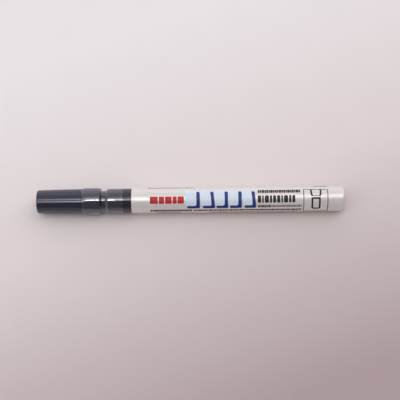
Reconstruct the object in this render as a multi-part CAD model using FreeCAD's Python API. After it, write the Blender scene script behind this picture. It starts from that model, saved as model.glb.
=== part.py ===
"""A slim valve-action marker lying on its side, capped, as an assembly of separate pieces.

The marker's axis runs along X, with the cap's closed end at -X and the barrel's tail at +X. Z = 0 is the
surface the marker lies on, and X = Y = 0 is the middle of its length. Stations are distances from the cap's
closed end along the axis, and radii are distances from the axis. All sizes are in millimetres.
"""

import FreeCAD
import Part

import math
import os

Vector = FreeCAD.Vector
FULL_TURN = 360.0
X_AXIS = Vector(1, 0, 0)
Y_AXIS = Vector(0, 1, 0)

# ---------------------------------------------------------------- driving dimensions

LENGTH = 141.0                  # closed cap end to barrel tail
BARREL_RADIUS = 5.80
COLLAR_END = 43.5               # station where the barrel's mouth meets the collar
PRESS_GAP = 0.015               # radial gap drawn between pressed pieces of one body
RUNNING_GAP = 0.08              # radial gap round sliding pieces
SAME_POINT = 1e-6               # ends of an outline's runs closer than this are one point

# cap: fluted grip, shoulder and smooth skirt
CAP_END_RADIUS = 5.37
CAP_GRIP_RADIUS = 5.73          # over the flutes' crests, at the shoulder
CAP_SKIRT_RADIUS = 6.10
CAP_END_ROUND = 0.7
CAP_SHOULDER_START = 20.5
CAP_SHOULDER_END = 22.0
CAP_SHOULDER_ROUND = 0.8
CAP_RIM = 29.3
CAP_RIM_ROUND = 0.5
CAP_END_WALL = 1.6
CAP_BORE_RADIUS = 4.45
CAP_MOUTH_RADIUS = 5.05
CAP_STEP_START = 19.5
CAP_STEP_END = 20.5
CAP_LEAD_IN = 0.2
FLUTE_COUNT = 18
FLUTE_RADIUS = 3.0
FLUTE_DEPTH = 0.07
FLUTE_PHASE = 10.0              # angle of the first flute above +Y, which sets one at the very top
FLUTE_RUN_OUT = 20.3            # station of the centre of each flute's round end
FLUTE_OVERRUN = 2.0             # how far the flute cutters start outside the closed end

# soft sealing cup inside the cap
LINER_WALL = 0.6
LINER_BORE_RADIUS = 3.2
LINER_END_WALL = 0.8
LINER_FLANGE = 0.9
LINER_LIP = 14.0

# clear shrink film, in two halves parted at a perforation just past the cap's rim
FILM_THICKNESS = 0.06
FILM_GAP = 0.01                 # between film and what it grips
FILM_START = 20.8
FILM_SLACK = 0.08               # between film and the point where its straight run crosses the shoulder
FILM_PART_GAP = 0.10
FILM_NECK_START = 29.85
FILM_END = 39.6

# collar body: spigot, snap bead, ringed neck, chamfer, collar, plug
SPIGOT_START = 20.6
SPIGOT_RADIUS = 4.90
SPIGOT_CHAMFER = 0.4
SNAP_STATION = 24.6
SNAP_HALF_WIDTH = 0.5
SNAP_HEIGHT = 0.10
NECK_RADIUS = 4.50
NECK_START = 29.0
NECK_RINGS = ((29.45, 30.00), (30.45, 31.00))
NECK_RING_RADIUS = 4.78
NECK_RING_ROUND = 0.1
NECK_END = 31.4
CHAMFER_FOOT_RADIUS = 4.74
CHAMFER_END = 32.7
COLLAR_RADIUS = 5.60            # a little under the barrel, whose mouth stands proud
COLLAR_ROUND = 0.35
COLLAR_REAR_ROUND = 0.10
PLUG_END = 50.0
PLUG_CHAMFER = 0.35
GROOVE_START = 46.4
GROOVE_END = 47.8
GROOVE_RADIUS = 4.60
HOLDER_SEAT_END = 27.0
CHANNEL_RADIUS = 3.0            # paint channel between the nib holder and the valve seat
CHAMBER_START = 33.0
CHAMBER_RADIUS = 3.60           # valve chamber, and the bore that takes the nib holder

# nib holder
HOLDER_TIP = 10.4
HOLDER_TIP_RADIUS = 2.1
HOLDER_TIP_ROUND = 0.3
HOLDER_KNEE = 13.2
HOLDER_KNEE_RADIUS = 2.95
HOLDER_KNEE_ROUND = 1.5
HOLDER_BASE_START = 20.0
HOLDER_BASE_RADIUS = 4.15
HOLDER_BASE_ROUND = 0.2
HOLDER_CHANNEL_START = 13.4
HOLDER_CHANNEL_RADIUS = 2.3
HOLDER_GUIDE_END = 12.6
HOLDER_PLUG_CHAMFER = 0.3
GUIDE_RIB_COUNT = 4
GUIDE_RIB_WIDTH = 0.5
GUIDE_RIB_START = 14.2
GUIDE_RIB_END = 26.4

# nib
NIB_TIP = 7.2
NIB_TIP_RADIUS = 1.0
NIB_TIP_ROUND = 0.95
NIB_RADIUS = 1.5
NIB_SHOULDER = 9.9
NIB_SHOULDER_ROUND = 1.0
NIB_END = 34.0

# valve
SEAT_END = 35.5
SEAT_BORE_RADIUS = 2.4
SEAT_LAND_RADIUS = 2.7
SEAT_CONE = 0.6
STEM_CUP_START = 31.0
STEM_CUP_RADIUS = 2.0
STEM_FLANGE_START = 36.2
STEM_FLANGE_END = 37.2
STEM_FLANGE_RADIUS = 3.0
STEM_TAIL_RADIUS = 1.2
STEM_TAIL_END = 47.6
STEM_TAIL_ROUND = 0.4
GASKET_GAP = 0.05               # between the closed gasket and the seat
CAGE_START = 45.0
CAGE_FLOOR = 1.2
CAGE_END = 49.4
CAGE_WALL = 0.6
FLOW_HOLE_COUNT = 6
FLOW_HOLE_RADIUS = 0.3
FLOW_HOLE_CIRCLE = 2.55
FLOW_HOLE_OVERRUN = 1.0         # how far the drill that cuts them runs past each face of the floor
SPRING_RADIUS = 1.9             # to the middle of the wire
SPRING_WIRE_RADIUS = 0.2
SPRING_TURNS = 6.5
SPRING_END_GAP = 0.02

# barrel and what is loose or sealed in it
BARREL_WALL = 0.40
BARREL_TAIL_WALL = 0.8
BARREL_TAIL_ROUND = 1.2
BARREL_MOUTH_ROUND = 0.25
SEAL_RING_WIRE_RADIUS = 0.37
BALL_RADIUS = 3.0
BALL_STATION = 100.0
BALL_GAP = 0.05

BARREL_BORE_RADIUS = BARREL_RADIUS - BARREL_WALL
PLUG_RADIUS = BARREL_BORE_RADIUS - PRESS_GAP
INSERT_RADIUS = CHAMBER_RADIUS - PRESS_GAP
AXIS_HEIGHT = CAP_SKIRT_RADIUS + FILM_GAP + FILM_THICKNESS


# ---------------------------------------------------------------- shared shapes

def on_axis(station, radius=0.0):
    """The point at a station and a radius, before the marker is lifted to its axis height."""
    return Vector(station - LENGTH / 2, radius, 0)


def lifted(solid):
    """The solid moved from the X axis up to the marker's own axis."""
    solid.translate(Vector(0, 0, AXIS_HEIGHT))
    return solid


def rounded_outline(corners):
    """A closed outline through corners of (station, radius) or (station, radius, rounding)."""
    points = [on_axis(corner[0], corner[1]) for corner in corners]
    runs = []
    arcs = []
    for index, corner in enumerate(corners):
        here = points[index]
        rounding = corner[2] if len(corner) > 2 else 0.0
        if not rounding:
            runs.append((here, here))
            arcs.append(None)
            continue
        to_last = (points[index - 1] - here).normalize()
        to_next = (points[(index + 1) % len(points)] - here).normalize()
        half_angle = to_last.getAngle(to_next) / 2
        reach = rounding / math.tan(half_angle)
        sagitta = rounding / math.sin(half_angle) - rounding
        start = here + to_last * reach
        end = here + to_next * reach
        middle = here + (to_last + to_next).normalize() * sagitta
        runs.append((start, end))
        arcs.append(Part.Arc(start, middle, end).toShape())
    edges = []
    for index, arc in enumerate(arcs):
        if arc:
            edges.append(arc)
        leave = runs[index][1]
        arrive = runs[(index + 1) % len(runs)][0]
        if not leave.isEqual(arrive, SAME_POINT):
            edges.append(Part.makeLine(leave, arrive))
    return Part.Wire(edges)


def turned(corners):
    """The solid of revolution that an outline makes round the marker's axis."""
    face = Part.Face(rounded_outline(corners))
    return lifted(face.revolve(Vector(0, 0, 0), X_AXIS, FULL_TURN))


def turned_about_axis(solid, angle):
    """A copy of the solid, turned about the marker's axis by an angle in degrees."""
    copy = solid.copy()
    copy.rotate(Vector(0, 0, AXIS_HEIGHT), X_AXIS, angle)
    return copy


def radius_between(station, start, end):
    """The radius at a station on the straight line between two (station, radius) points."""
    share = (station - start[0]) / (end[0] - start[0])
    return start[1] + share * (end[1] - start[1])


# ---------------------------------------------------------------- cap

def flute_cutter():
    """One flute: a round-ended rod that follows the cap's draft and cuts FLUTE_DEPTH into its grip."""
    out = FLUTE_RADIUS - FLUTE_DEPTH
    draft = (CAP_GRIP_RADIUS - CAP_END_RADIUS) / CAP_SHOULDER_START
    start_radius = CAP_END_RADIUS + out - draft * FLUTE_OVERRUN
    end_radius = CAP_END_RADIUS + out + draft * FLUTE_RUN_OUT
    start = on_axis(-FLUTE_OVERRUN, start_radius)
    end = on_axis(FLUTE_RUN_OUT, end_radius)
    rod = Part.makeCylinder(FLUTE_RADIUS, (end - start).Length, start, end - start)
    ball = Part.makeSphere(FLUTE_RADIUS, end)
    return lifted(rod.fuse(ball))


def cap_shell():
    """The push-on cap: closed end, fluted grip with draft, shoulder, skirt and a stepped bore."""
    shell = turned([
        (0, 0),
        (0, CAP_END_RADIUS, CAP_END_ROUND),
        (CAP_SHOULDER_START, CAP_GRIP_RADIUS, CAP_SHOULDER_ROUND),
        (CAP_SHOULDER_END, CAP_SKIRT_RADIUS, CAP_SHOULDER_ROUND),
        (CAP_RIM, CAP_SKIRT_RADIUS, CAP_RIM_ROUND),
        (CAP_RIM, CAP_MOUTH_RADIUS + CAP_LEAD_IN),
        (CAP_RIM - CAP_LEAD_IN, CAP_MOUTH_RADIUS),
        (CAP_STEP_END, CAP_MOUTH_RADIUS),
        (CAP_STEP_START, CAP_BORE_RADIUS),
        (CAP_END_WALL, CAP_BORE_RADIUS),
        (CAP_END_WALL, 0),
    ])
    cutter = flute_cutter()
    step = FULL_TURN / FLUTE_COUNT
    flutes = [turned_about_axis(cutter, FLUTE_PHASE + index * step) for index in range(FLUTE_COUNT)]
    return shell.cut(flutes)


def cap_seal_liner():
    """The soft cup pressed into the cap's closed end, whose lip seals round the nib holder."""
    flange_radius = CAP_BORE_RADIUS - PRESS_GAP
    floor = CAP_END_WALL + LINER_END_WALL
    return turned([
        (CAP_END_WALL, 0),
        (CAP_END_WALL, flange_radius),
        (floor + LINER_FLANGE, flange_radius, LINER_FLANGE / 2),
        (floor + LINER_FLANGE, LINER_BORE_RADIUS + LINER_WALL, LINER_WALL / 2),
        (LINER_LIP, LINER_BORE_RADIUS + LINER_WALL, LINER_WALL / 2),
        (LINER_LIP, LINER_BORE_RADIUS, LINER_WALL / 4),
        (floor, LINER_BORE_RADIUS, LINER_WALL),
        (floor, 0),
    ])


# ---------------------------------------------------------------- shrink film

def skin(inner):
    """A film of even thickness, measured along the radius, over a line of (station, radius) points."""
    outer = [(station, radius + FILM_THICKNESS) for station, radius in inner]
    return turned(inner + outer[::-1])


def film_over_rim():
    """The two points where the film bevels over the cap's rounded rim, just clear of it."""
    bevel = (CAP_RIM_ROUND + FILM_GAP) * math.tan(math.pi / 8)
    return (
        (CAP_RIM - CAP_RIM_ROUND + bevel, CAP_SKIRT_RADIUS + FILM_GAP),
        (CAP_RIM + FILM_GAP, CAP_SKIRT_RADIUS - CAP_RIM_ROUND + bevel),
    )


def seal_film_cap():
    """The half of the clear band on the cap: over the shoulder, the skirt and the rim's rounding."""
    shoulder = radius_between(
        FILM_START,
        (CAP_SHOULDER_START, CAP_GRIP_RADIUS),
        (CAP_SHOULDER_END, CAP_SKIRT_RADIUS),
    )
    return skin([
        (FILM_START, shoulder + FILM_SLACK),
        (CAP_SHOULDER_END, CAP_SKIRT_RADIUS + FILM_GAP),
        *film_over_rim(),
    ])


def seal_film_collar():
    """The half of the clear band on the collar: drawn in to the neck, then up the chamfer and along."""
    part_station, part_radius = film_over_rim()[1]
    return skin([
        (part_station + FILM_PART_GAP, part_radius),
        (FILM_NECK_START, NECK_RING_RADIUS + FILM_GAP),
        (NECK_END, NECK_RING_RADIUS + FILM_GAP),
        (CHAMFER_END, COLLAR_RADIUS + FILM_GAP),
        (FILM_END, COLLAR_RADIUS + FILM_GAP),
    ])


# ---------------------------------------------------------------- front section

def neck_corners():
    """The neck's outline: fine rings standing on a narrower core."""
    corners = [(NECK_START, SPIGOT_RADIUS), (NECK_START, NECK_RADIUS)]
    for ring_start, ring_end in NECK_RINGS:
        corners += [
            (ring_start, NECK_RADIUS),
            (ring_start, NECK_RING_RADIUS, NECK_RING_ROUND),
            (ring_end, NECK_RING_RADIUS, NECK_RING_ROUND),
            (ring_end, NECK_RADIUS),
        ]
    corners += [(NECK_END, NECK_RADIUS), (NECK_END, CHAMFER_FOOT_RADIUS)]
    return corners


def collar_body():
    """The moulded front section, from the spigot under the cap to the plug inside the barrel."""
    snap_radius = SPIGOT_RADIUS + SNAP_HEIGHT
    return turned([
        (SPIGOT_START, CHAMBER_RADIUS),
        (SPIGOT_START, SPIGOT_RADIUS - SPIGOT_CHAMFER),
        (SPIGOT_START + SPIGOT_CHAMFER, SPIGOT_RADIUS),
        (SNAP_STATION - SNAP_HALF_WIDTH, SPIGOT_RADIUS),
        (SNAP_STATION, snap_radius, SNAP_HALF_WIDTH),
        (SNAP_STATION + SNAP_HALF_WIDTH, SPIGOT_RADIUS),
        *neck_corners(),
        (CHAMFER_END, COLLAR_RADIUS, COLLAR_ROUND),
        (COLLAR_END, COLLAR_RADIUS, COLLAR_REAR_ROUND),
        (COLLAR_END, PLUG_RADIUS),
        (GROOVE_START, PLUG_RADIUS),
        (GROOVE_START, GROOVE_RADIUS),
        (GROOVE_END, GROOVE_RADIUS),
        (GROOVE_END, PLUG_RADIUS),
        (PLUG_END - PLUG_CHAMFER, PLUG_RADIUS),
        (PLUG_END, PLUG_RADIUS - PLUG_CHAMFER),
        (PLUG_END, CHAMBER_RADIUS),
        (CHAMBER_START, CHAMBER_RADIUS),
        (CHAMBER_START, CHANNEL_RADIUS),
        (HOLDER_SEAT_END, CHANNEL_RADIUS),
        (HOLDER_SEAT_END, CHAMBER_RADIUS),
    ])


def guide_rib(angle):
    """One rib inside the nib holder, which steadies the nib and leaves paint channels beside it."""
    inner = NIB_RADIUS + RUNNING_GAP
    outer = HOLDER_CHANNEL_RADIUS + GUIDE_RIB_WIDTH / 2
    corner = on_axis(GUIDE_RIB_START, inner) - Vector(0, 0, GUIDE_RIB_WIDTH / 2)
    rib = Part.makeBox(GUIDE_RIB_END - GUIDE_RIB_START, outer - inner, GUIDE_RIB_WIDTH, corner)
    return turned_about_axis(lifted(rib), angle)


def nib_holder():
    """The cone at the front: guides the nib, carries paint to it and plugs into the collar body."""
    guide_radius = NIB_RADIUS + RUNNING_GAP
    holder = turned([
        (HOLDER_TIP, guide_radius),
        (HOLDER_TIP, HOLDER_TIP_RADIUS, HOLDER_TIP_ROUND),
        (HOLDER_KNEE, HOLDER_KNEE_RADIUS, HOLDER_KNEE_ROUND),
        (HOLDER_BASE_START, HOLDER_BASE_RADIUS, HOLDER_BASE_ROUND),
        (SPIGOT_START, HOLDER_BASE_RADIUS),
        (SPIGOT_START, INSERT_RADIUS),
        (HOLDER_SEAT_END - HOLDER_PLUG_CHAMFER, INSERT_RADIUS),
        (HOLDER_SEAT_END, INSERT_RADIUS - HOLDER_PLUG_CHAMFER),
        (HOLDER_SEAT_END, HOLDER_CHANNEL_RADIUS),
        (HOLDER_CHANNEL_START, HOLDER_CHANNEL_RADIUS),
        (HOLDER_GUIDE_END, guide_radius),
    ])
    step = FULL_TURN / GUIDE_RIB_COUNT
    ribs = [guide_rib(index * step) for index in range(GUIDE_RIB_COUNT)]
    return holder.fuse(ribs)


def nib():
    """The fibre rod, with a bullet tip that tapers out to the full rod."""
    return turned([
        (NIB_TIP, 0),
        (NIB_TIP, NIB_TIP_RADIUS, NIB_TIP_ROUND),
        (NIB_SHOULDER, NIB_RADIUS, NIB_SHOULDER_ROUND),
        (NIB_END, NIB_RADIUS),
        (NIB_END, 0),
    ])


# ---------------------------------------------------------------- valve

def valve_seat():
    """The ring in the collar's bore that the gasket shuts against, with a coned rear mouth."""
    return turned([
        (CHAMBER_START, SEAT_BORE_RADIUS),
        (CHAMBER_START, INSERT_RADIUS),
        (SEAT_END, INSERT_RADIUS),
        (SEAT_END, SEAT_LAND_RADIUS),
        (SEAT_END - SEAT_CONE, SEAT_BORE_RADIUS),
    ])


def valve_stem():
    """The plunger: a front cup that grips the nib, a flange for the gasket and a guided tail."""
    socket_radius = NIB_RADIUS + PRESS_GAP
    return turned([
        (STEM_CUP_START, socket_radius),
        (STEM_CUP_START, STEM_CUP_RADIUS),
        (STEM_FLANGE_START, STEM_CUP_RADIUS),
        (STEM_FLANGE_START, STEM_FLANGE_RADIUS),
        (STEM_FLANGE_END, STEM_FLANGE_RADIUS),
        (STEM_FLANGE_END, STEM_TAIL_RADIUS),
        (STEM_TAIL_END, STEM_TAIL_RADIUS, STEM_TAIL_ROUND),
        (STEM_TAIL_END, 0),
        (NIB_END, 0),
        (NIB_END, socket_radius),
    ])


def valve_gasket():
    """The rubber washer in front of the stem's flange."""
    return turned([
        (SEAT_END + GASKET_GAP, STEM_CUP_RADIUS + PRESS_GAP),
        (SEAT_END + GASKET_GAP, STEM_FLANGE_RADIUS),
        (STEM_FLANGE_START, STEM_FLANGE_RADIUS),
        (STEM_FLANGE_START, STEM_CUP_RADIUS + PRESS_GAP),
    ])


def valve_spring():
    """The coil spring round the stem's tail, from its flange to the floor of the cage."""
    end_room = SPRING_WIRE_RADIUS + SPRING_END_GAP
    start = on_axis(STEM_FLANGE_END + end_room)
    coil_length = CAGE_START - STEM_FLANGE_END - 2 * end_room
    helix = Part.makeLongHelix(coil_length / SPRING_TURNS, coil_length, SPRING_RADIUS)
    section = Part.makeCircle(SPRING_WIRE_RADIUS, Vector(SPRING_RADIUS, 0, 0), Y_AXIS)
    coil = Part.Wire(helix.Edges).makePipeShell([Part.Wire([section])], True, True)
    coil.rotate(Vector(0, 0, 0), Y_AXIS, FULL_TURN / 4)
    coil.translate(start)
    return lifted(coil)


def spring_cage():
    """The rear retainer: a cup pressed into the chamber, with flow holes round the stem's guide."""
    cage = turned([
        (CAGE_START, STEM_TAIL_RADIUS + RUNNING_GAP),
        (CAGE_START, INSERT_RADIUS),
        (CAGE_END, INSERT_RADIUS),
        (CAGE_END, INSERT_RADIUS - CAGE_WALL),
        (CAGE_START + CAGE_FLOOR, INSERT_RADIUS - CAGE_WALL),
        (CAGE_START + CAGE_FLOOR, STEM_TAIL_RADIUS + RUNNING_GAP),
    ])
    hole_start = on_axis(CAGE_START - FLOW_HOLE_OVERRUN, FLOW_HOLE_CIRCLE)
    hole_length = CAGE_FLOOR + 2 * FLOW_HOLE_OVERRUN
    hole = lifted(Part.makeCylinder(FLOW_HOLE_RADIUS, hole_length, hole_start, X_AXIS))
    step = FULL_TURN / FLOW_HOLE_COUNT
    return cage.cut([turned_about_axis(hole, index * step) for index in range(FLOW_HOLE_COUNT)])


# ---------------------------------------------------------------- barrel

def barrel_seal_ring():
    """The rubber ring in the plug's groove."""
    ring_radius = (GROOVE_RADIUS + BARREL_BORE_RADIUS) / 2
    centre = on_axis((GROOVE_START + GROOVE_END) / 2)
    return lifted(Part.makeTorus(ring_radius, SEAL_RING_WIRE_RADIUS, centre, X_AXIS))


def barrel_tube():
    """The drawn aluminium barrel: open at the collar, closed and rounded at the tail."""
    floor = LENGTH - BARREL_TAIL_WALL
    return turned([
        (COLLAR_END, BARREL_BORE_RADIUS),
        (COLLAR_END, BARREL_RADIUS, BARREL_MOUTH_ROUND),
        (LENGTH, BARREL_RADIUS, BARREL_TAIL_ROUND),
        (LENGTH, 0),
        (floor, 0),
        (floor, BARREL_BORE_RADIUS, BARREL_TAIL_ROUND - BARREL_WALL),
    ])


def agitator_ball():
    """The steel ball, lying on the bottom of the barrel's bore."""
    drop = BARREL_BORE_RADIUS - BALL_RADIUS - BALL_GAP
    return lifted(Part.makeSphere(BALL_RADIUS, on_axis(BALL_STATION) - Vector(0, 0, drop)))


# ---------------------------------------------------------------- output

SUB_PARTS = (
    cap_shell,
    cap_seal_liner,
    seal_film_cap,
    seal_film_collar,
    collar_body,
    nib_holder,
    nib,
    valve_seat,
    valve_stem,
    valve_gasket,
    valve_spring,
    spring_cage,
    barrel_seal_ring,
    barrel_tube,
    agitator_ball,
)

os.makedirs("parts", exist_ok=True)
for make in SUB_PARTS:
    make().exportStep(f"parts/{make.__name__}.step")
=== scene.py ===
import math

import bmesh
import bpy
from mathutils import Matrix, Vector, noise


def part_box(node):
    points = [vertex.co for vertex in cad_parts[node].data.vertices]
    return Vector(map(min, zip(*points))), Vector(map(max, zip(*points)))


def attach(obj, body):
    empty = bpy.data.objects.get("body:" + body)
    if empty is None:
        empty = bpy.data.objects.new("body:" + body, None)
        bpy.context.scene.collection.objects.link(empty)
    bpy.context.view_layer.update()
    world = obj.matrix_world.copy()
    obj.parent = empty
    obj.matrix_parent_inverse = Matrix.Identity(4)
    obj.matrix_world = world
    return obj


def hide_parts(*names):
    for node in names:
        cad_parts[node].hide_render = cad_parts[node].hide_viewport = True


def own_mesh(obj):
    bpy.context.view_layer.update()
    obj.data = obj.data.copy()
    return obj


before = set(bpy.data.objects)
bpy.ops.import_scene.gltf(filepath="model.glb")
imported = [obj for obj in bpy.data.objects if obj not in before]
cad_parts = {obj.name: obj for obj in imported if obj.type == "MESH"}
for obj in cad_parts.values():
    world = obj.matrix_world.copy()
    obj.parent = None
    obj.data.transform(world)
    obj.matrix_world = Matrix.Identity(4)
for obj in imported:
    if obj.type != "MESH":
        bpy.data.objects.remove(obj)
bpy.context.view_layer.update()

MM = 0.001
FULL_TURN = 2 * math.pi
ON_AXIS = 1e-7                    # radii smaller than this are points on the axis
SHARP_EDGE = math.radians(40)     # steeper edges than this stay sharp in smooth shading

# ---------------------------------------------------------------- places read from the frame

cap_low, cap_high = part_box("cap_shell")
collar_low, collar_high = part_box("collar_body")
barrel_low, barrel_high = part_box("barrel_tube")
film_cap_low, film_cap_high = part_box("seal_film_cap")
film_collar_low, film_collar_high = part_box("seal_film_collar")
nib_low, nib_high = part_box("nib")
spring_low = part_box("valve_spring")[0]
cage_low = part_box("spring_cage")[0]

AXIS_Z = (barrel_low.z + barrel_high.z) / 2
CAP_END = cap_low.x
CAP_RIM = cap_high.x
SKIRT_RADIUS = (cap_high.z - cap_low.z) / 2
BARREL_RADIUS = (barrel_high.z - barrel_low.z) / 2
MOUTH = barrel_low.x
TAIL = barrel_high.x
FILM_RADIUS = (film_cap_high.z - film_cap_low.z) / 2
COLLAR_RADIUS = (collar_high.z - collar_low.z) / 2
NIB_RADIUS = (nib_high.z - nib_low.z) / 2


# ---------------------------------------------------------------- mesh helpers

def at(station):
    """The x of a station, in millimetres from the cap's closed end."""
    return CAP_END + station * MM


def on_round(x, radius, angle):
    """A point at a radius from the marker's axis, angle turned from the top towards -Y."""
    return (x, -radius * math.sin(angle), AXIS_Z + radius * math.cos(angle))


def rounded(corners, steps=8):
    """Outline points through corners of (x, radius) or (x, radius, rounding).

    A corner with a rounding becomes an arc.
    """
    points = []
    for index, corner in enumerate(corners):
        here = Vector(corner[:2])
        rounding = corner[2] if len(corner) > 2 else 0.0
        if not rounding:
            points.append(here)
            continue
        last = (Vector(corners[index - 1][:2]) - here).normalized()
        ahead = (Vector(corners[(index + 1) % len(corners)][:2]) - here).normalized()
        half = last.angle(ahead) / 2
        centre = here + (last + ahead).normalized() * (rounding / math.sin(half))
        start = here + last * (rounding / math.tan(half)) - centre
        end = here + ahead * (rounding / math.tan(half)) - centre
        for step in range(steps + 1):
            spoke = start.lerp(end, step / steps).normalized()
            points.append(centre + spoke * rounding)
    return points


def filled(points, longest, start=None, end=None):
    """The closed outline, with runs between start and end (x) cut into pieces up to longest."""
    result = []
    for here, ahead in zip(points, points[1:] + points[:1]):
        result.append(here)
        inside = start is None or (min(here.x, ahead.x) < end and max(here.x, ahead.x) > start)
        pieces = math.ceil((ahead - here).length / longest) if inside else 1
        result += [here.lerp(ahead, piece / pieces) for piece in range(1, pieces)]
    return result


def smooth(mesh):
    """Smooth shading, apart from the mesh's sharp edges."""
    mesh.polygons.foreach_set("use_smooth", [True] * len(mesh.polygons))
    mesh.set_sharp_from_angle(angle=SHARP_EDGE)


def add_piece(name, mesh, finish, body):
    """A smooth-shaded piece that rides on a body, with the given finish."""
    mesh.materials.append(finish)
    smooth(mesh)
    piece = bpy.data.objects.new(name, mesh)
    bpy.context.scene.collection.objects.link(piece)
    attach(piece, body)
    return piece


def add_mesh(name, vertices, faces, finish, body):
    """A piece made of vertices and faces, with its normals turned outwards."""
    mesh = bpy.data.meshes.new(name)
    mesh.from_pydata([tuple(v) for v in vertices], [], faces)
    shell = bmesh.new()
    shell.from_mesh(mesh)
    bmesh.ops.recalc_face_normals(shell, faces=shell.faces)
    shell.to_mesh(mesh)
    shell.free()
    return add_piece(name, mesh, finish, body)


def lathe(name, outline, segments, finish, body, shape=None):
    """A closed outline turned round the axis; shape(x, radius, angle) may change the radius."""
    vertices = []
    rings = []
    for point in outline:
        if point.y < ON_AXIS:
            rings.append([len(vertices)])
            vertices.append((point.x, 0, AXIS_Z))
            continue
        rings.append(list(range(len(vertices), len(vertices) + segments)))
        for segment in range(segments):
            angle = FULL_TURN * segment / segments
            radius = shape(point.x, point.y, angle) if shape else point.y
            vertices.append(on_round(point.x, radius, angle))
    faces = []
    for ring, following in zip(rings, rings[1:] + rings[:1]):
        if len(ring) == 1 and len(following) == 1:
            continue
        for segment in range(segments):
            nearby = (segment + 1) % segments
            if len(ring) == 1:
                faces.append((ring[0], following[segment], following[nearby]))
            elif len(following) == 1:
                faces.append((ring[segment], following[0], ring[nearby]))
            else:
                faces.append((ring[segment], following[segment], following[nearby], ring[nearby]))
    return add_mesh(name, vertices, faces, finish, body)


# ---------------------------------------------------------------- material helpers

def material(name):
    """A new material's node tree, with its Principled shader."""
    made = bpy.data.materials.new(name)
    made.use_nodes = True
    tree = made.node_tree
    return made, tree, tree.nodes["Principled BSDF"]


def object_coordinates(tree, scale=(1, 1, 1)):
    """The piece's own coordinates in metres; a small scale along X draws a texture out."""
    coordinates = tree.nodes.new("ShaderNodeTexCoord")
    mapping = tree.nodes.new("ShaderNodeMapping")
    mapping.inputs["Scale"].default_value = scale
    tree.links.new(coordinates.outputs["Object"], mapping.inputs["Vector"])
    return mapping.outputs["Vector"]


def noise_value(tree, vector, scale, detail=3.0, roughness=0.5):
    """Noise with about scale features to the metre."""
    node = tree.nodes.new("ShaderNodeTexNoise")
    node.inputs["Scale"].default_value = scale
    node.inputs["Detail"].default_value = detail
    node.inputs["Roughness"].default_value = roughness
    tree.links.new(vector, node.inputs["Vector"])
    return node.outputs["Fac"]


def ramp(tree, value, stops):
    """A colour ramp over value, with stops of (position, colour)."""
    node = tree.nodes.new("ShaderNodeValToRGB")
    elements = node.color_ramp.elements
    while len(elements) < len(stops):
        elements.new(0.5)
    for element, (position, colour) in zip(elements, stops):
        element.position = position
        element.color = (*colour, 1)
    tree.links.new(value, node.inputs["Fac"])
    return node.outputs["Color"]


def spread(tree, value, low, high, from_low=0.3, from_high=0.7):
    """value, mapped from from_low..from_high to low..high."""
    node = tree.nodes.new("ShaderNodeMapRange")
    node.inputs["From Min"].default_value = from_low
    node.inputs["From Max"].default_value = from_high
    node.inputs["To Min"].default_value = low
    node.inputs["To Max"].default_value = high
    tree.links.new(value, node.inputs["Value"])
    return node.outputs["Result"]


def bump(tree, height, distance):
    """A normal that follows height, whose full range stands for distance."""
    node = tree.nodes.new("ShaderNodeBump")
    node.inputs["Distance"].default_value = distance
    tree.links.new(height, node.inputs["Height"])
    return node.outputs["Normal"]


def moulded(name, dark, light, roughness, ior=1.49):
    """Moulded plastic: slight colour drift, fine spark-eroded grain and a few handling scuffs."""
    made, tree, shader = material(name)
    vector = object_coordinates(tree)
    drift = noise_value(tree, vector, 260, 3)
    fine = noise_value(tree, vector, 5200, 2)
    scuffs = noise_value(tree, object_coordinates(tree, (0.25, 1, 1)), 1500, 5, 0.7)
    tree.links.new(ramp(tree, drift, [(0.3, dark), (0.7, light)]), shader.inputs["Base Color"])
    wear = spread(tree, scuffs, roughness - 0.05, roughness + 0.07)
    tree.links.new(wear, shader.inputs["Roughness"])
    shader.inputs["IOR"].default_value = ior
    tree.links.new(bump(tree, fine, 0.006 * MM), shader.inputs["Normal"])
    return made


PEARL = 0.3                       # how far the lacquer mirrors light as metal flake does
LACQUER_ROUGHNESS = (0.273, 0.277)      # a wider range shows as streaks beside the highlight


def lacquer():
    """Pearl-white lacquer on drawn aluminium: fine drawn grain, warm drift and hairline scuffs."""
    made, tree, shader = material("white_lacquer")
    vector = object_coordinates(tree)
    drift = noise_value(tree, vector, 90, 3)
    peel = noise_value(tree, vector, 1700, 2)
    scuffs = noise_value(tree, object_coordinates(tree, (0.12, 1, 1)), 2400, 5, 0.7)
    colours = [(0.3, (0.79, 0.745, 0.70)), (0.7, (0.83, 0.78, 0.74))]
    tree.links.new(ramp(tree, drift, colours), shader.inputs["Base Color"])
    tree.links.new(spread(tree, scuffs, *LACQUER_ROUGHNESS), shader.inputs["Roughness"])
    shader.inputs["Metallic"].default_value = PEARL
    shader.inputs["IOR"].default_value = 1.5
    tree.links.new(bump(tree, peel, 0.0005 * MM), shader.inputs["Normal"])
    return made


def ink(name, dark, light, roughness=0.4):
    """Screen-printed ink: dense, with slightly uneven cover."""
    made, tree, shader = material(name)
    vector = object_coordinates(tree)
    cover = noise_value(tree, vector, 2600, 3)
    tree.links.new(ramp(tree, cover, [(0.3, dark), (0.7, light)]), shader.inputs["Base Color"])
    wear = spread(tree, cover, roughness - 0.06, roughness + 0.06)
    tree.links.new(wear, shader.inputs["Roughness"])
    tree.links.new(bump(tree, cover, 0.003 * MM), shader.inputs["Normal"])
    return made


FILM_GLOSS = 0.036                # share of light that one face mirrors, seen square on
FILM_EDGE_GLOSS = 0.85            # and at a glancing angle
FILM_EDGE_POWER = 5.0             # how late the gloss rises towards the edge


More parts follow.
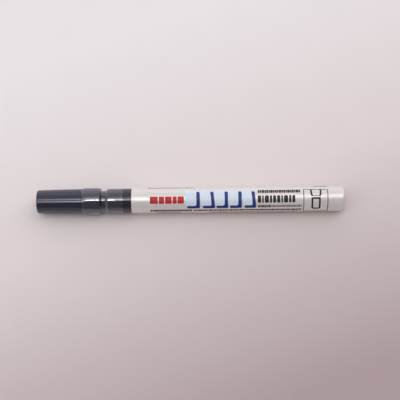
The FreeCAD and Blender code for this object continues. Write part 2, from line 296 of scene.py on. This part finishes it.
def clear_film():
    """Clear shrunk film: see-through, with a glossy face that strengthens at glancing angles."""
    made, tree, shader = material("clear_film")
    vector = object_coordinates(tree, (0.5, 1, 1))
    crinkle = noise_value(tree, vector, 500, 2)
    gloss = tree.nodes.new("ShaderNodeBsdfGlossy")
    gloss.inputs["Color"].default_value = (0.97, 0.97, 1.0, 1)
    tree.links.new(spread(tree, crinkle, 0.04, 0.09), gloss.inputs["Roughness"])
    tree.links.new(bump(tree, crinkle, 0.004 * MM), gloss.inputs["Normal"])
    clear = tree.nodes.new("ShaderNodeBsdfTransparent")
    clear.inputs["Color"].default_value = (0.99, 0.99, 0.995, 1)
    facing = tree.nodes.new("ShaderNodeLayerWeight")
    facing.inputs["Blend"].default_value = 0.5
    edge = tree.nodes.new("ShaderNodeMath")
    edge.operation = "POWER"
    edge.inputs[1].default_value = FILM_EDGE_POWER
    tree.links.new(facing.outputs["Facing"], edge.inputs[0])
    share = spread(tree, edge.outputs["Value"], FILM_GLOSS, FILM_EDGE_GLOSS, 0.0, 1.0)
    mix = tree.nodes.new("ShaderNodeMixShader")
    tree.links.new(share, mix.inputs["Fac"])
    tree.links.new(clear.outputs["BSDF"], mix.inputs[1])
    tree.links.new(gloss.outputs["BSDF"], mix.inputs[2])
    tree.links.new(mix.outputs["Shader"], tree.nodes["Material Output"].inputs["Surface"])
    tree.nodes.remove(shader)
    return made


def metal(name, colour, roughness, scale):
    """Bare metal with fine working marks."""
    made, tree, shader = material(name)
    marks = noise_value(tree, object_coordinates(tree), scale, 4)
    bright = tuple(min(1.0, part * 1.08) for part in colour)
    tree.links.new(ramp(tree, marks, [(0.3, colour), (0.7, bright)]), shader.inputs["Base Color"])
    wear = spread(tree, marks, roughness - 0.04, roughness + 0.06)
    tree.links.new(wear, shader.inputs["Roughness"])
    shader.inputs["Metallic"].default_value = 1.0
    tree.links.new(bump(tree, marks, 0.003 * MM), shader.inputs["Normal"])
    return made


def fibre():
    """Bonded fibre rod: long fibres along the nib, soaked dark from the tip back."""
    made, tree, shader = material("nib_fibre")
    strands = noise_value(tree, object_coordinates(tree, (0.06, 1, 1)), 9000, 3)
    coordinates = tree.nodes.new("ShaderNodeTexCoord")
    parts = tree.nodes.new("ShaderNodeSeparateXYZ")
    tree.links.new(coordinates.outputs["Object"], parts.inputs["Vector"])
    wet_end = nib_low.x + 2.2 * MM
    dry_start = nib_low.x + 4.5 * MM
    dryness = spread(tree, parts.outputs["X"], 0, 1, wet_end, dry_start)
    dry = ramp(tree, strands, [(0.3, (0.50, 0.48, 0.44)), (0.7, (0.66, 0.64, 0.60))])
    mix = tree.nodes.new("ShaderNodeMix")
    mix.data_type = "RGBA"
    tree.links.new(dryness, mix.inputs["Factor"])
    mix.inputs["A"].default_value = (0.02, 0.02, 0.024, 1)
    tree.links.new(dry, mix.inputs["B"])
    tree.links.new(mix.outputs["Result"], shader.inputs["Base Color"])
    shader.inputs["Roughness"].default_value = 0.85
    tree.links.new(bump(tree, strands, 0.03 * MM), shader.inputs["Normal"])
    return made


def rubber():
    """Moulded rubber: matte, with a fine grain."""
    made, tree, shader = material("black_rubber")
    grain = noise_value(tree, object_coordinates(tree), 4200, 3)
    colours = [(0.3, (0.012, 0.012, 0.013)), (0.7, (0.022, 0.022, 0.024))]
    tree.links.new(ramp(tree, grain, colours), shader.inputs["Base Color"])
    tree.links.new(spread(tree, grain, 0.5, 0.7), shader.inputs["Roughness"])
    tree.links.new(bump(tree, grain, 0.006 * MM), shader.inputs["Normal"])
    return made


DARK_PLASTIC = moulded(
    "dark_plastic", (0.0050, 0.0055, 0.0220), (0.0080, 0.0085, 0.0330), 0.15, ior=1.75
)
COLLAR_PLASTIC = moulded(
    "collar_plastic", (0.0070, 0.0062, 0.0140), (0.0095, 0.0085, 0.0200), 0.15, ior=1.7
)
NATURAL_PLASTIC = moulded("natural_plastic", (0.66, 0.65, 0.60), (0.74, 0.73, 0.68), 0.42)
LACQUER = lacquer()
FILM = clear_film()
FIBRE = fibre()
RUBBER = rubber()
SPRING_STEEL = metal("spring_steel", (0.56, 0.56, 0.57), 0.24, 3000)
BALL_STEEL = metal("ball_steel", (0.60, 0.60, 0.61), 0.10, 2500)
INK_BLACK = ink("print_black", (0.006, 0.006, 0.008), (0.012, 0.012, 0.014), 0.45)
INK_GREY = ink("print_grey", (0.07, 0.06, 0.06), (0.11, 0.10, 0.10))
INK_RED = ink("print_red", (0.44, 0.003, 0.012), (0.56, 0.006, 0.022), 0.45)
INK_BLUE = ink("print_blue", (0.001, 0.022, 0.150), (0.003, 0.040, 0.230), 0.45)
INK_PALE = ink("print_white", (0.68, 0.77, 0.86), (0.76, 0.84, 0.91), 0.4)


# ---------------------------------------------------------------- cap

FLUTES = 18
FLUTE_SEGMENTS = 24
FLUTE_HALF_WIDTH = 0.92 * MM
FLUTE_DEPTH = 0.06 * MM
FLUTE_RUN_OUT = at(20.3)
GRIP_END = at(20.5)
SHOULDER_END = at(22.0)
GRIP_RADIUS = BARREL_RADIUS - 0.07 * MM
END_RADIUS = GRIP_RADIUS - 0.36 * MM
FLUTED_ABOVE = END_RADIUS - 0.75 * MM
UNDER_FILM_RADIUS = SKIRT_RADIUS - 0.06 * MM      # leaves room for the film's wrinkles


def fluted(x, radius, angle):
    """The cap's outer radius with its flutes: shallow waves that end in scallops."""
    if radius < FLUTED_ABOVE or x > FLUTE_RUN_OUT + FLUTE_HALF_WIDTH:
        return radius
    pitch = FULL_TURN / FLUTES
    across = (((angle + pitch / 2) % pitch) - pitch / 2) * radius
    beyond = max(0.0, x - FLUTE_RUN_OUT)
    share = min(1.0, math.hypot(across, beyond) / FLUTE_HALF_WIDTH)
    return radius - FLUTE_DEPTH * 0.5 * (1 + math.cos(math.pi * share))


def build_cap():
    """The cap's moulding: closed end, fluted grip, shoulder, skirt and a stepped bore."""
    bore = SKIRT_RADIUS - 1.05 * MM
    grip_bore = bore - 0.6 * MM
    bevel = 0.2 * MM
    end_wall = at(1.6)
    corners = [
        (CAP_END, 0),
        (CAP_END, END_RADIUS, 0.7 * MM),
        (GRIP_END, GRIP_RADIUS, 0.8 * MM),
        (SHOULDER_END, UNDER_FILM_RADIUS, 0.8 * MM),
        (CAP_RIM, UNDER_FILM_RADIUS, 0.5 * MM),
        (CAP_RIM, bore + bevel),
        (CAP_RIM - bevel, bore),
        (GRIP_END, bore),
        (GRIP_END - 1.0 * MM, grip_bore),
        (end_wall, grip_bore),
        (end_wall, 0),
    ]
    scallops_start = at(18.6)
    scallops_end = at(22.4)
    outline = filled(rounded(corners), 0.14 * MM, scallops_start, scallops_end)
    outline = filled(outline, 1.2 * MM)
    segments = FLUTES * FLUTE_SEGMENTS
    cap = lathe("cap_moulding", outline, segments, DARK_PLASTIC, "cap", fluted)
    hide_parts("cap_shell")


# ---------------------------------------------------------------- barrel

def build_barrel():
    """The drawn barrel with its rolled mouth, a faint crimp behind it and the rounded tail."""
    bore = BARREL_RADIUS - 0.4 * MM
    tail_wall = TAIL - 0.8 * MM
    crimp = at(44.75)
    crimp_half = 0.35 * MM
    crimp_depth = 0.07 * MM
    crimp_round = 0.3 * MM
    corners = [
        (MOUTH + 0.25 * MM, bore),
        (MOUTH, bore + 0.12 * MM),
        (MOUTH, BARREL_RADIUS, 0.22 * MM),
        (crimp - crimp_half, BARREL_RADIUS, crimp_round),
        (crimp, BARREL_RADIUS - crimp_depth, crimp_round),
        (crimp + crimp_half, BARREL_RADIUS, crimp_round),
        (TAIL, BARREL_RADIUS, 1.0 * MM),
        (TAIL, 0),
        (tail_wall, 0),
        (tail_wall, bore, 0.8 * MM),
    ]
    outline = filled(rounded(corners, 12), 4 * MM)
    barrel = lathe("barrel_shell", outline, 192, LACQUER, "barrel")
    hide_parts("barrel_tube")


# ---------------------------------------------------------------- shrink film

FILM_THICKNESS = 0.03 * MM
FILM_SEGMENTS = 216
WRINKLE_DEPTH = 0.030 * MM
WIDE_WRINKLE = (0.22, 2.3)        # noise steps per millimetre along, and its circle's radius
FINE_WRINKLE = (0.75, 6.5)
TAUT_SHARE = 0.35                 # depth of the wrinkles far from the loose end


def wrinkle_noise(x, angle, wrinkle):
    """Smooth noise on the film's surface, about -1 to 1."""
    along, around = wrinkle
    place = (x / MM * along, math.cos(angle) * around, math.sin(angle) * around)
    return noise.noise(Vector(place))


def crinkled(depth, loose_end, reach):
    """A radius change for film: shallow lengthwise wrinkles, deepest at its loose end."""
    def shape(x, radius, angle):
        slack = math.exp(-abs(x - loose_end) / reach)
        wide = wrinkle_noise(x, angle, WIDE_WRINKLE)
        fine = wrinkle_noise(x, angle, FINE_WRINKLE)
        dent = 0.5 - 0.5 * wide + slack * (0.5 - 0.5 * fine)
        share = dent * (TAUT_SHARE + (1 - TAUT_SHARE) * slack)
        return radius - depth * max(0.0, min(1.0, share))
    return shape


def build_film():
    """Two thin clear shells, parted just past the cap's rim."""
    outside = FILM_RADIUS - 0.002 * MM
    collar_outside = COLLAR_RADIUS + 0.068 * MM
    rim_radius = SKIRT_RADIUS - 0.29 * MM
    cap_outer = [
        (film_cap_low.x, GRIP_RADIUS + 0.22 * MM),
        (SHOULDER_END, outside, 0.6 * MM),
        (CAP_RIM - 0.2 * MM, outside, 0.3 * MM),
        (film_cap_high.x, rim_radius),
    ]
    add_film("shrink_film_cap", "seal_film_cap", "cap", cap_outer, at(21.5), 3.2 * MM)
    neck_radius = COLLAR_RADIUS - 0.75 * MM
    neck_start = at(29.85)
    neck_end = at(31.4)
    chamfer_end = at(32.7)
    collar_outer = [
        (film_collar_low.x, rim_radius),
        (neck_start, neck_radius, 0.2 * MM),
        (neck_end, neck_radius, 0.2 * MM),
        (chamfer_end, collar_outside, 0.3 * MM),
        (film_collar_high.x, collar_outside),
    ]
    add_film(
        "shrink_film_collar", "seal_film_collar", "barrel", collar_outer, at(32.0), 2.0 * MM
    )


def add_film(name, node, body, outer, loose_end, reach):
    """One film shell under an outer outline, most wrinkled within reach of its loose end."""
    inner = [(c[0], c[1] - FILM_THICKNESS, *c[2:]) for c in outer[::-1]]
    outline = filled(rounded(outer + inner), 0.25 * MM)
    wrinkle = crinkled(WRINKLE_DEPTH, loose_end, reach)
    film = lathe(name, outline, FILM_SEGMENTS, FILM, body, wrinkle)
    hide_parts(node)


# ---------------------------------------------------------------- printing on the barrel

FACING = math.radians(22.0)      # the print's middle line, turned from the top towards -Y
INK_LIFT = 0.012 * MM
INK_THICKNESS = 0.012 * MM
LAYER_LIFT = 0.9                 # each layer's height over the last, in ink lifts
BEND_STEP = math.radians(3.0)


def rounded_box(x_low, x_high, a_low, a_high, corner, steps=5):
    """Points of a round-cornered rectangle, in millimetres along and around the barrel."""
    centres = (
        (x_high - corner, a_high - corner, 0.0),
        (x_low + corner, a_high - corner, 0.25),
        (x_low + corner, a_low + corner, 0.5),
        (x_high - corner, a_low + corner, 0.75),
    )
    points = []
    for x, a, start in centres:
        for step in range(steps + 1):
            turn = FULL_TURN * (start + 0.25 * step / steps)
            points.append((x + corner * math.cos(turn), a + corner * math.sin(turn)))
    return points


def print_shape(name, outlines, colour, layer=0):
    """Flat outlines wrapped on the barrel, in millimetres along it and around from FACING."""
    flat = bmesh.new()
    for outline in outlines:
        corners = [flat.verts.new((x, a, 0)) for x, a in outline]
        flat.faces.new(corners)
    low = min(a for outline in outlines for _, a in outline)
    high = max(a for outline in outlines for _, a in outline)
    step = BEND_STEP * BARREL_RADIUS / MM
    cut = math.floor(low / step) * step
    while cut < high:
        geometry = flat.verts[:] + flat.edges[:] + flat.faces[:]
        bmesh.ops.bisect_plane(flat, geom=geometry, plane_co=(0, cut, 0), plane_no=(0, 1, 0))
        cut += step
    faces = flat.faces[:]
    raised = bmesh.ops.extrude_face_region(flat, geom=faces)
    top = {v for v in raised["geom"] if isinstance(v, bmesh.types.BMVert)}
    for vertex in flat.verts:
        base = BARREL_RADIUS + INK_LIFT * (1 + LAYER_LIFT * layer)
        radius = base + (INK_THICKNESS if vertex in top else 0.0)
        angle = FACING + vertex.co.y * MM / BARREL_RADIUS
        vertex.co = on_round(at(vertex.co.x), radius, angle)
    bmesh.ops.recalc_face_normals(flat, faces=flat.faces)
    mesh = bpy.data.meshes.new(name)
    flat.to_mesh(mesh)
    flat.free()
    add_piece(name, mesh, colour, "barrel")


DASH_ROUNDING = 0.3              # a dash's corner, as a share of its shorter side


def dashes(x_low, x_high, a_middle, height, lengths, gap):
    """A row of short round-cornered bars, their lengths taken in turn, from x_low to x_high."""
    a_low = a_middle - height / 2
    a_high = a_middle + height / 2
    bars = []
    x = x_low
    turn = 0
    while x < x_high - lengths[turn % len(lengths)]:
        length = lengths[turn % len(lengths)]
        corner = DASH_ROUNDING * min(length, height)
        bars.append(rounded_box(x, x + length, a_low, a_high, corner, 3))
        x += length + gap
        turn += 1
    return bars


def leaning(x_low, x_high, a_low, a_high, corner, lean):
    """A round-cornered rectangle whose top leans back by lean."""
    height = a_high - a_low
    box = rounded_box(x_low, x_high, a_low, a_high, corner)
    return [(x - lean * (a_high - a) / height, a) for x, a in box]


TILES = (                          # start, end and lean of each pale tile
    (68.1, 73.2, 0.0),
    (75.3, 80.2, 0.8),
    (81.5, 86.1, 0.0),
    (87.6, 92.3, 0.0),
    (94.4, 98.9, 0.7),
)
TILE_SPAN = (-5.1, 2.75)           # around the barrel
SHADE_SPAN = (-4.0, 4.15)
SHADE_START, SHADE_END = 0.9, 1.6    # past the tile's own start and end
TILE_CORNER = 0.8
SHADE_CORNER = 0.6
TILE_LAYER = 3                       # over both layers of the shades, whose corners overlap


def build_tiles():
    """A row of pale tiles, each with a deep blue drop shadow to its lower right."""
    for index, (low, high, lean) in enumerate(TILES):
        shade = leaning(low + SHADE_START, high + SHADE_END, *SHADE_SPAN, SHADE_CORNER, lean)
        tile = leaning(low, high, *TILE_SPAN, TILE_CORNER, lean)
        print_shape(f"print_blue_shade_{index}", [shade], INK_BLUE, index % 2)
        print_shape(f"print_pale_tile_{index}", [tile], INK_PALE, TILE_LAYER)


ROWS = (                           # name, start, end, middle, height, bar lengths, gap
    ("bold", 101.2, 120.0, -0.1, 3.35, (1.5, 0.75, 1.9, 1.0, 1.35), 0.45),
    ("upper", 101.3, 121.6, -3.9, 1.75, (0.85, 0.6, 1.1, 0.7), 0.16),
    ("lower_bold", 101.3, 107.2, 3.35, 1.25, (0.8, 0.6, 1.0), 0.2),
    ("lower", 107.4, 121.6, 3.35, 1.1, (0.5, 0.7, 0.4), 0.24),
    ("foot_bold", 52.1, 71.8, 5.5, 1.4, (0.9, 0.6, 1.2, 0.7), 0.16),
    ("foot", 72.0, 121.6, 5.5, 1.15, (1.1, 0.6, 1.6, 0.8), 0.16),
    ("base", 55.0, 66.0, 7.4, 1.1, (0.9, 0.6, 1.2), 0.35),
    ("base_far", 80.0, 121.0, 7.4, 0.8, (1.9, 0.8, 1.3), 0.4),
    ("head", 51.0, 73.9, -7.9, 1.3, (1.3, 0.8, 1.9), 0.25),
    ("head_far", 127.1, 133.4, -7.9, 1.3, (1.3, 0.8, 1.9), 0.25),
)
GREY_ROWS = ("lower", "base", "base_far", "head", "head_far")

RED_START = 52.0
RED_WIDTHS = (3.7, 2.5, 3.1, 1.9, 2.9)
RED_GAP = 0.35
RED_SPAN = (-1.75, 1.55)           # around the barrel
RED_CORNER = 0.4


def build_red_bars():
    """A row of red bars of uneven width."""
    x = RED_START
    bars = []
    for width in RED_WIDTHS:
        bars.append(rounded_box(x, x + width, *RED_SPAN, RED_CORNER))
        x += width + RED_GAP
    print_shape("print_red_bars", bars, INK_RED)


def build_print():
    """Generic printing: bars, tiles and a nib sign, with no letters."""
    build_red_bars()
    build_tiles()
    for name, low, high, middle, height, lengths, gap in ROWS:
        grey = name in GREY_ROWS
        colour, slot = (INK_GREY, "print_grey") if grey else (INK_BLACK, "print_black")
        row = dashes(low, high, middle, height, lengths, gap)
        print_shape(f"print_row_{name}", row, colour)
    build_nib_sign()


def bar(x_low, x_high, a_low, a_high):
    """The four corners of a plain bar."""
    return [(x_low, a_low), (x_high, a_low), (x_high, a_high), (x_low, a_high)]


def build_nib_sign():
    """A framed sign: the outline of a holder above and of a round-ended nib below."""
    line = 0.34
    low, high = 122.0, 133.3
    top, foot = -4.9, 7.0
    frame_lines = [
        bar(low, high, top, top + line),
        bar(low, high, foot, foot + line),
        bar(low, low + line, top + line, foot),
        bar(high - line, high, top + line, foot),
    ]
    print_shape("print_sign_frame", frame_lines, INK_BLACK)
    middle = 127.75
    bold = 0.8
    holder_half, mouth_half = 2.6, 2.1
    holder_top, holder_foot = -4.6, -1.2
    holder = []
    for side in (-1, 1):
        wide, narrow = middle + side * holder_half, middle + side * mouth_half
        wall = [
            (wide, holder_top),
            (wide - side * bold, holder_top),
            (wide - side * (bold + 0.1), -2.4),
            (narrow - side * bold, holder_foot),
            (narrow, holder_foot),
            (wide - side * 0.1, -2.3),
        ]
        holder.append(wall[::side])
    inside_low = middle - mouth_half + bold
    inside_high = middle + mouth_half - bold
    holder.append(bar(inside_low, inside_high, holder_foot - 0.35, holder_foot))
    print_shape("print_sign_holder", holder, INK_BLACK)
    half = 2.1
    crown, shoulder, end = -0.7, 4.2, 5.3
    nib = [
        bar(middle - half, middle + half, crown, crown + bold),
        bar(middle - half, middle - half + bold, crown + bold, shoulder),
        bar(middle + half - bold, middle + half, crown + bold, shoulder),
        [
            (middle - half, shoulder),
            (middle - half + bold, shoulder),
            (middle - 1.0, end - bold),
            (middle + 1.0, end - bold),
            (middle + half - bold, shoulder),
            (middle + half, shoulder),
            (middle + half - 0.2, end - 0.4),
            (middle + 1.1, end),
            (middle - 1.1, end),
            (middle - half + 0.2, end - 0.4),
        ],
    ]
    print_shape("print_sign_nib", nib, INK_BLACK)


# ---------------------------------------------------------------- inner pieces

def build_spring():
    """The valve spring as a smooth coil with closed ends."""
    wire = 0.2 * MM
    coil_radius = 1.9 * MM
    gap = 0.02 * MM
    start = spring_low.x + wire
    end = cage_low.x - wire - gap
    turns = 6.5
    steps_per_turn = 40
    curve = bpy.data.curves.new("valve_spring_coil", "CURVE")
    curve.dimensions = "3D"
    curve.bevel_depth = wire
    curve.bevel_resolution = 5
    curve.use_fill_caps = True
    spline = curve.splines.new("POLY")
    count = int(turns * steps_per_turn)
    spline.points.add(count)
    for index, point in enumerate(spline.points):
        share = index / count
        angle = FULL_TURN * turns * share
        x = start + (end - start) * share
        point.co = (x, coil_radius * math.sin(angle), AXIS_Z + coil_radius * math.cos(angle), 1)
    holder = bpy.data.objects.new("valve_spring_coil", curve)
    mesh = bpy.data.meshes.new_from_object(holder)
    spring = bpy.data.objects.new("valve_spring_coil_mesh", mesh)
    bpy.context.scene.collection.objects.link(spring)
    bpy.data.objects.remove(holder)
    mesh.materials.clear()
    mesh.materials.append(SPRING_STEEL)
    mesh.polygons.foreach_set("use_smooth", [True] * len(mesh.polygons))
    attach(spring, "barrel")
    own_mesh(spring)
    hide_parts("valve_spring")


def build_nib():
    """The fibre nib with a soft bullet tip."""
    tip = nib_low.x
    corners = [
        (tip, 0),
        (tip, 1.0 * MM, 0.95 * MM),
        (tip + 2.7 * MM, NIB_RADIUS, 1.0 * MM),
        (nib_high.x, NIB_RADIUS),
        (nib_high.x, 0),
    ]
    outline = filled(rounded(corners, 12), 1.0 * MM)
    nib = lathe("fibre_nib", outline, 64, FIBRE, "nib")
    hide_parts("nib")


def dress(node, finish):
    """Gives a CAD node that stays its finish."""
    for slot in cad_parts[node].material_slots:
        slot.material = finish


KEPT_NODES = {                     # CAD nodes shown as they are, and their finishes
    "cap_seal_liner": NATURAL_PLASTIC,
    "collar_body": COLLAR_PLASTIC,
    "nib_holder": COLLAR_PLASTIC,
    "valve_seat": NATURAL_PLASTIC,
    "valve_stem": NATURAL_PLASTIC,
    "spring_cage": NATURAL_PLASTIC,
    "valve_gasket": RUBBER,
    "barrel_seal_ring": RUBBER,
    "agitator_ball": BALL_STEEL,
}


# ---------------------------------------------------------------- floor, light, camera

# painted shade: the floor's colour runs from the lit far side to the shaded near right, standing
# in for the light falling off
PAINTED_FALLOFF_DIRECTION = (-0.35, 0.94, 0.0)
PAINTED_FALLOFF_REACH = 0.10
FLOOR_FAR = (0.93, 0.885, 0.86)
FLOOR_MIDDLE_PAINTED_SHADE = (0.80, 0.72, 0.70)
FLOOR_NEAR_PAINTED_SHADE = (0.46, 0.365, 0.36)
FLOOR_HALF = 3.0
LAMP_PLACE = (-0.18, -0.275, 1.19)
LAMP_TARGET = (-0.03, 0, 0)
LAMP_SIZE = (0.08, 0.09)
LAMP_POWER = 0.7
LAMP_COLOUR = (0.93, 0.95, 1.0)
ROOM_AWAY = (-0.5, 1.0, 0.0)        # level direction towards the room's far side
ROOM_TINT = (0.97, 0.955, 1.0)
ROOM_LIGHT = (                     # degrees from the far horizon over the top, and the light there
    (0, 1.05),
    (30, 0.9),
    (60, 0.62),
    (74, 0.8),
    (80, 1.7),
    (85, 2.3),
    (99, 2.4),
    (102, 2.1),
    (106, 0.36),
    (112, 0.26),
    (150, 0.24),
    (180, 0.24),
)
ROOM_PEAK = max(strength for _, strength in ROOM_LIGHT)


def floor_material():
    """Pale paper with faint mottle, and painted shade: its colour darkens towards the near right,
    standing in for the light falling off.
    """
    made, tree, shader = material("studio_floor")
    vector = object_coordinates(tree)
    mottle = noise_value(tree, vector, 60, 3)
    across = tree.nodes.new("ShaderNodeVectorMath")
    across.operation = "DOT_PRODUCT"
    across.inputs[1].default_value = PAINTED_FALLOFF_DIRECTION
    tree.links.new(vector, across.inputs[0])
    shade_share = spread(tree, across.outputs["Value"], 0.0, 1.0, -PAINTED_FALLOFF_REACH, PAINTED_FALLOFF_REACH)
    # painted shade: the floor colour darkens towards the near right, where the light falls off
    painted_falloff = ramp(tree, shade_share, [(0.0, FLOOR_NEAR_PAINTED_SHADE), (0.5, FLOOR_MIDDLE_PAINTED_SHADE), (1.0, FLOOR_FAR)])
    speck = ramp(tree, mottle, [(0.3, (0.985, 0.985, 0.985)), (0.7, (1.0, 1.0, 1.0))])
    mix = tree.nodes.new("ShaderNodeMix")
    mix.data_type = "RGBA"
    mix.blend_type = "MULTIPLY"
    mix.inputs["Factor"].default_value = 1.0
    tree.links.new(painted_falloff, mix.inputs["A"])
    tree.links.new(speck, mix.inputs["B"])
    tree.links.new(mix.outputs["Result"], shader.inputs["Base Color"])
    shader.inputs["Roughness"].default_value = 0.7
    shader.inputs["Specular IOR Level"].default_value = 0.1
    return made


def build_floor():
    """A square of floor under the marker."""
    half = FLOOR_HALF
    corners = [(-half, -half, 0), (half, -half, 0), (half, half, 0), (-half, half, 0)]
    mesh = bpy.data.meshes.new("studio_floor")
    mesh.from_pydata(corners, [], [(0, 1, 2, 3)])
    mesh.materials.append(floor_material())
    floor = bpy.data.objects.new("studio_floor", mesh)
    bpy.context.scene.collection.objects.link(floor)


def build_lamp():
    """A small lamp over the near left, which makes the bright lines on the film."""
    light = bpy.data.lights.new("lamp", "AREA")
    light.shape = "RECTANGLE"
    light.size, light.size_y = LAMP_SIZE
    light.energy = LAMP_POWER
    light.color = LAMP_COLOUR
    lamp = bpy.data.objects.new("lamp", light)
    lamp.location = LAMP_PLACE
    facing = Vector(LAMP_TARGET) - Vector(LAMP_PLACE)
    lamp.rotation_euler = facing.to_track_quat("-Z", "Y").to_euler()
    bpy.context.scene.collection.objects.link(lamp)


def build_room():
    """A room lit by angle, from its far horizon over the top to the near one."""
    world = bpy.data.worlds.new("studio_world")
    world.use_nodes = True
    tree = world.node_tree
    coordinates = tree.nodes.new("ShaderNodeTexCoord")
    parts = tree.nodes.new("ShaderNodeSeparateXYZ")
    tree.links.new(coordinates.outputs["Generated"], parts.inputs["Vector"])
    away = tree.nodes.new("ShaderNodeVectorMath")
    away.operation = "DOT_PRODUCT"
    away.inputs[1].default_value = ROOM_AWAY
    tree.links.new(coordinates.outputs["Generated"], away.inputs[0])
    angle = tree.nodes.new("ShaderNodeMath")
    angle.operation = "ARCTAN2"
    tree.links.new(parts.outputs["Z"], angle.inputs[0])
    tree.links.new(away.outputs["Value"], angle.inputs[1])
    share = spread(tree, angle.outputs["Value"], 0.0, 1.0, 0.0, math.pi)
    tint = Vector(ROOM_TINT)
    stops = [(degrees / 180, tint * strength / ROOM_PEAK) for degrees, strength in ROOM_LIGHT]
    background = tree.nodes["Background"]
    tree.links.new(ramp(tree, share, stops), background.inputs["Color"])
    background.inputs["Strength"].default_value = ROOM_PEAK
    bpy.context.scene.world = world


def build_camera():
    """Looks down on the marker along +Y, aimed a little past its middle towards the tail."""
    elevation = math.radians(68.0)
    distance = 0.42
    seen_width = 184.6 * MM
    roll_angle = math.radians(-0.65)
    target = Vector((4.36 * MM, 0, AXIS_Z))
    back = Vector((0, -math.cos(elevation), math.sin(elevation)))
    camera = bpy.data.cameras.new("camera")
    camera.sensor_width = 36
    camera.lens = camera.sensor_width * distance / seen_width
    camera.clip_start = 0.01
    holder = bpy.data.objects.new("camera", camera)
    turn = back.to_track_quat("Z", "Y").to_matrix().to_4x4()
    roll = Matrix.Rotation(roll_angle, 4, "Z")
    holder.matrix_world = Matrix.Translation(target + back * distance) @ turn @ roll
    bpy.context.scene.collection.objects.link(holder)
    bpy.context.scene.camera = holder


build_cap()
build_barrel()
build_film()
build_print()
build_spring()
build_nib()
for node_name, finish in KEPT_NODES.items():
    dress(node_name, finish)
build_floor()
build_lamp()
build_room()
build_camera()
bpy.context.scene.view_settings.view_transform = "Standard"
